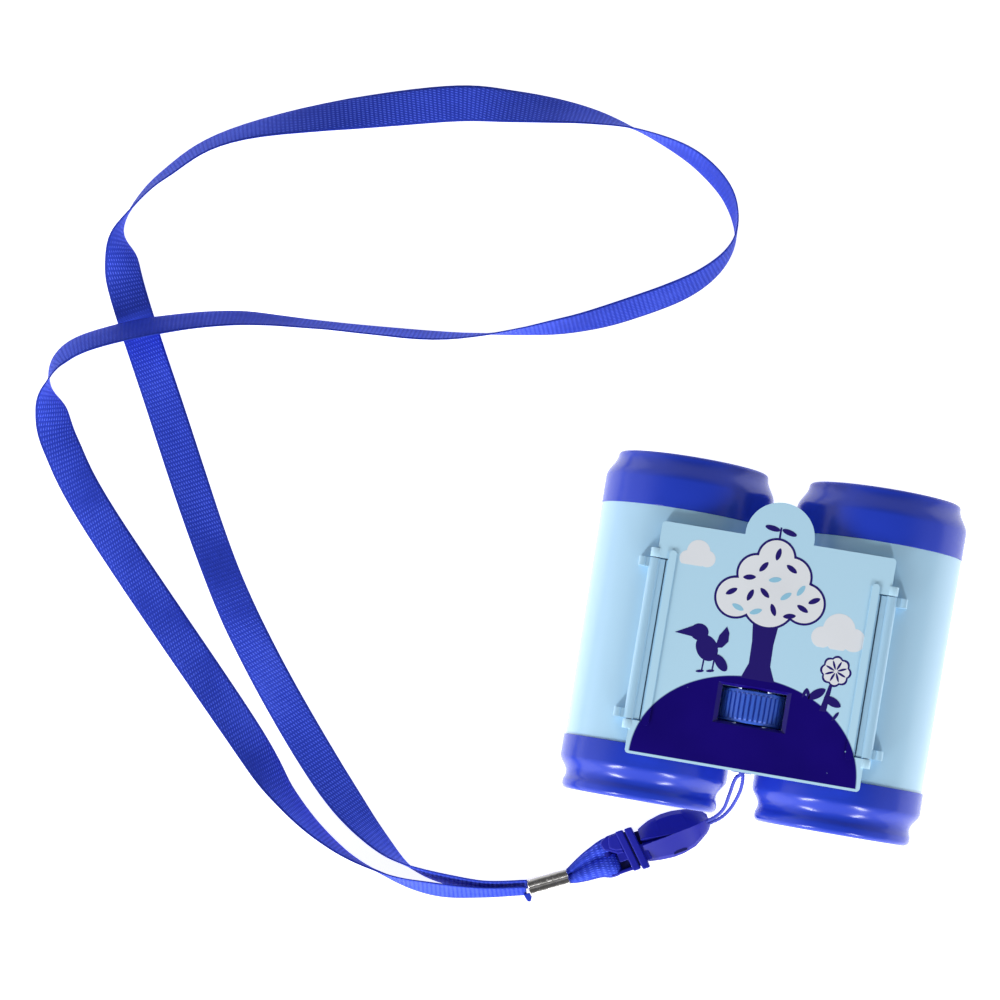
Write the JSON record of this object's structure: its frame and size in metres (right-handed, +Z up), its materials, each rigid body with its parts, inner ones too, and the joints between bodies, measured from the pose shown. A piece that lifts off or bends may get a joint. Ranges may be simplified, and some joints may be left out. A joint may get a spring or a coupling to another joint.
{
  "type": "toy binoculars",
  "caption": "Child's double-hinge pocket binoculars with light blue barrels, royal blue hoods and eyecups, a printed bridge plate, a centre focus wheel and a ribbon neck lanyard.",
  "frame": {"origin": "on the surface it lies on, under the middle of the binoculars' box (without the lanyard)", "axes": "+X across the barrels, +Y towards the objectives, +Z up through the bridge plate"},
  "size_m": [0.2704, 0.2351, 0.0506],
  "materials": {
    "light_blue_plastic": "smooth moulded, glossy",
    "royal_blue_plastic": "smooth moulded, high gloss",
    "wheel_plastic": "ribbed, satin",
    "dark_blue_plastic": "moulded, fine matt",
    "steel": "bright steel",
    "nickel": "bright nickel plate",
    "lens_glass": "clear moulded lens",
    "blue_ribbon": "woven satin ribbon",
    "blue_cord": "twisted thin cord"
  },
  "bodies": {
    "bridge": {"bridge_plate": "light_blue_plastic", "bridge_base": "royal_blue_plastic", "bridge_screws": "steel", "loop_cord": "blue_cord", "buckle_plug": "dark_blue_plastic"},
    "focus": {"focus_wheel": "wheel_plastic", "focus_spindle": "steel", "spindle_clip": "steel"},
    "yoke": {"focus_yoke": "dark_blue_plastic"},
    "lanyard": {"buckle_socket": "dark_blue_plastic", "ribbon_loop": "blue_ribbon", "ribbon_crimp": "nickel", "neck_ribbon": "blue_ribbon"},
    "left_barrel": {"left_barrel_tube": "light_blue_plastic", "left_hinge_pin": "steel", "left_hood": "royal_blue_plastic", "left_objective_lens": "lens_glass", "left_lens_ring": "dark_blue_plastic", "left_eyecup": "royal_blue_plastic"},
    "left_carrier": {"left_lens_carrier": "dark_blue_plastic", "left_eye_lens": "lens_glass", "left_eye_lens_ring": "dark_blue_plastic"},
    "right_barrel": {"right_barrel_tube": "light_blue_plastic", "right_hinge_pin": "steel", "right_hood": "royal_blue_plastic", "right_objective_lens": "lens_glass", "right_lens_ring": "dark_blue_plastic", "right_eyecup": "royal_blue_plastic"},
    "right_carrier": {"right_lens_carrier": "dark_blue_plastic", "right_eye_lens": "lens_glass", "right_eye_lens_ring": "dark_blue_plastic"}
  },
  "joints": [
    {"name": "left_barrel_swing", "type": "hinge", "parent": "bridge", "child": "left_barrel", "pos_m": [-0.0326, 0, 0.049], "axis": [0, 1, 0], "range_deg": [0, 20]},
    {"name": "right_barrel_swing", "type": "hinge", "parent": "bridge", "child": "right_barrel", "pos_m": [0.0326, 0, 0.049], "axis": [0, -1, 0], "range_deg": [0, 20]},
    {"name": "focus_turn", "type": "hinge", "parent": "bridge", "child": "focus", "pos_m": [0, 0, 0.0403], "axis": [0, 1, 0], "range_deg": [-120, 120]},
    {"name": "yoke_slide", "type": "slide", "parent": "bridge", "child": "yoke", "axis": [0, 1, 0], "range_m": [-0.0021, 0.0021]},
    {"name": "left_carrier_slide", "type": "slide", "parent": "left_barrel", "child": "left_carrier", "axis": [0, 1, 0], "range_m": [-0.0021, 0.0021]},
    {"name": "right_carrier_slide", "type": "slide", "parent": "right_barrel", "child": "right_carrier", "axis": [0, 1, 0], "range_m": [-0.0021, 0.0021]},
    {"name": "buckle_release", "type": "slide", "parent": "bridge", "child": "lanyard", "axis": [-0.878, -0.4787, 0], "range_m": [0, 0.012]}
  ],
  "couplings": [
    {"joint": "yoke_slide", "follows": "focus_turn", "m_per_rad": 0.00095493},
    {"joint": "left_carrier_slide", "follows": "focus_turn", "m_per_rad": 0.00095493},
    {"joint": "right_carrier_slide", "follows": "focus_turn", "m_per_rad": 0.00095493}
  ]
}
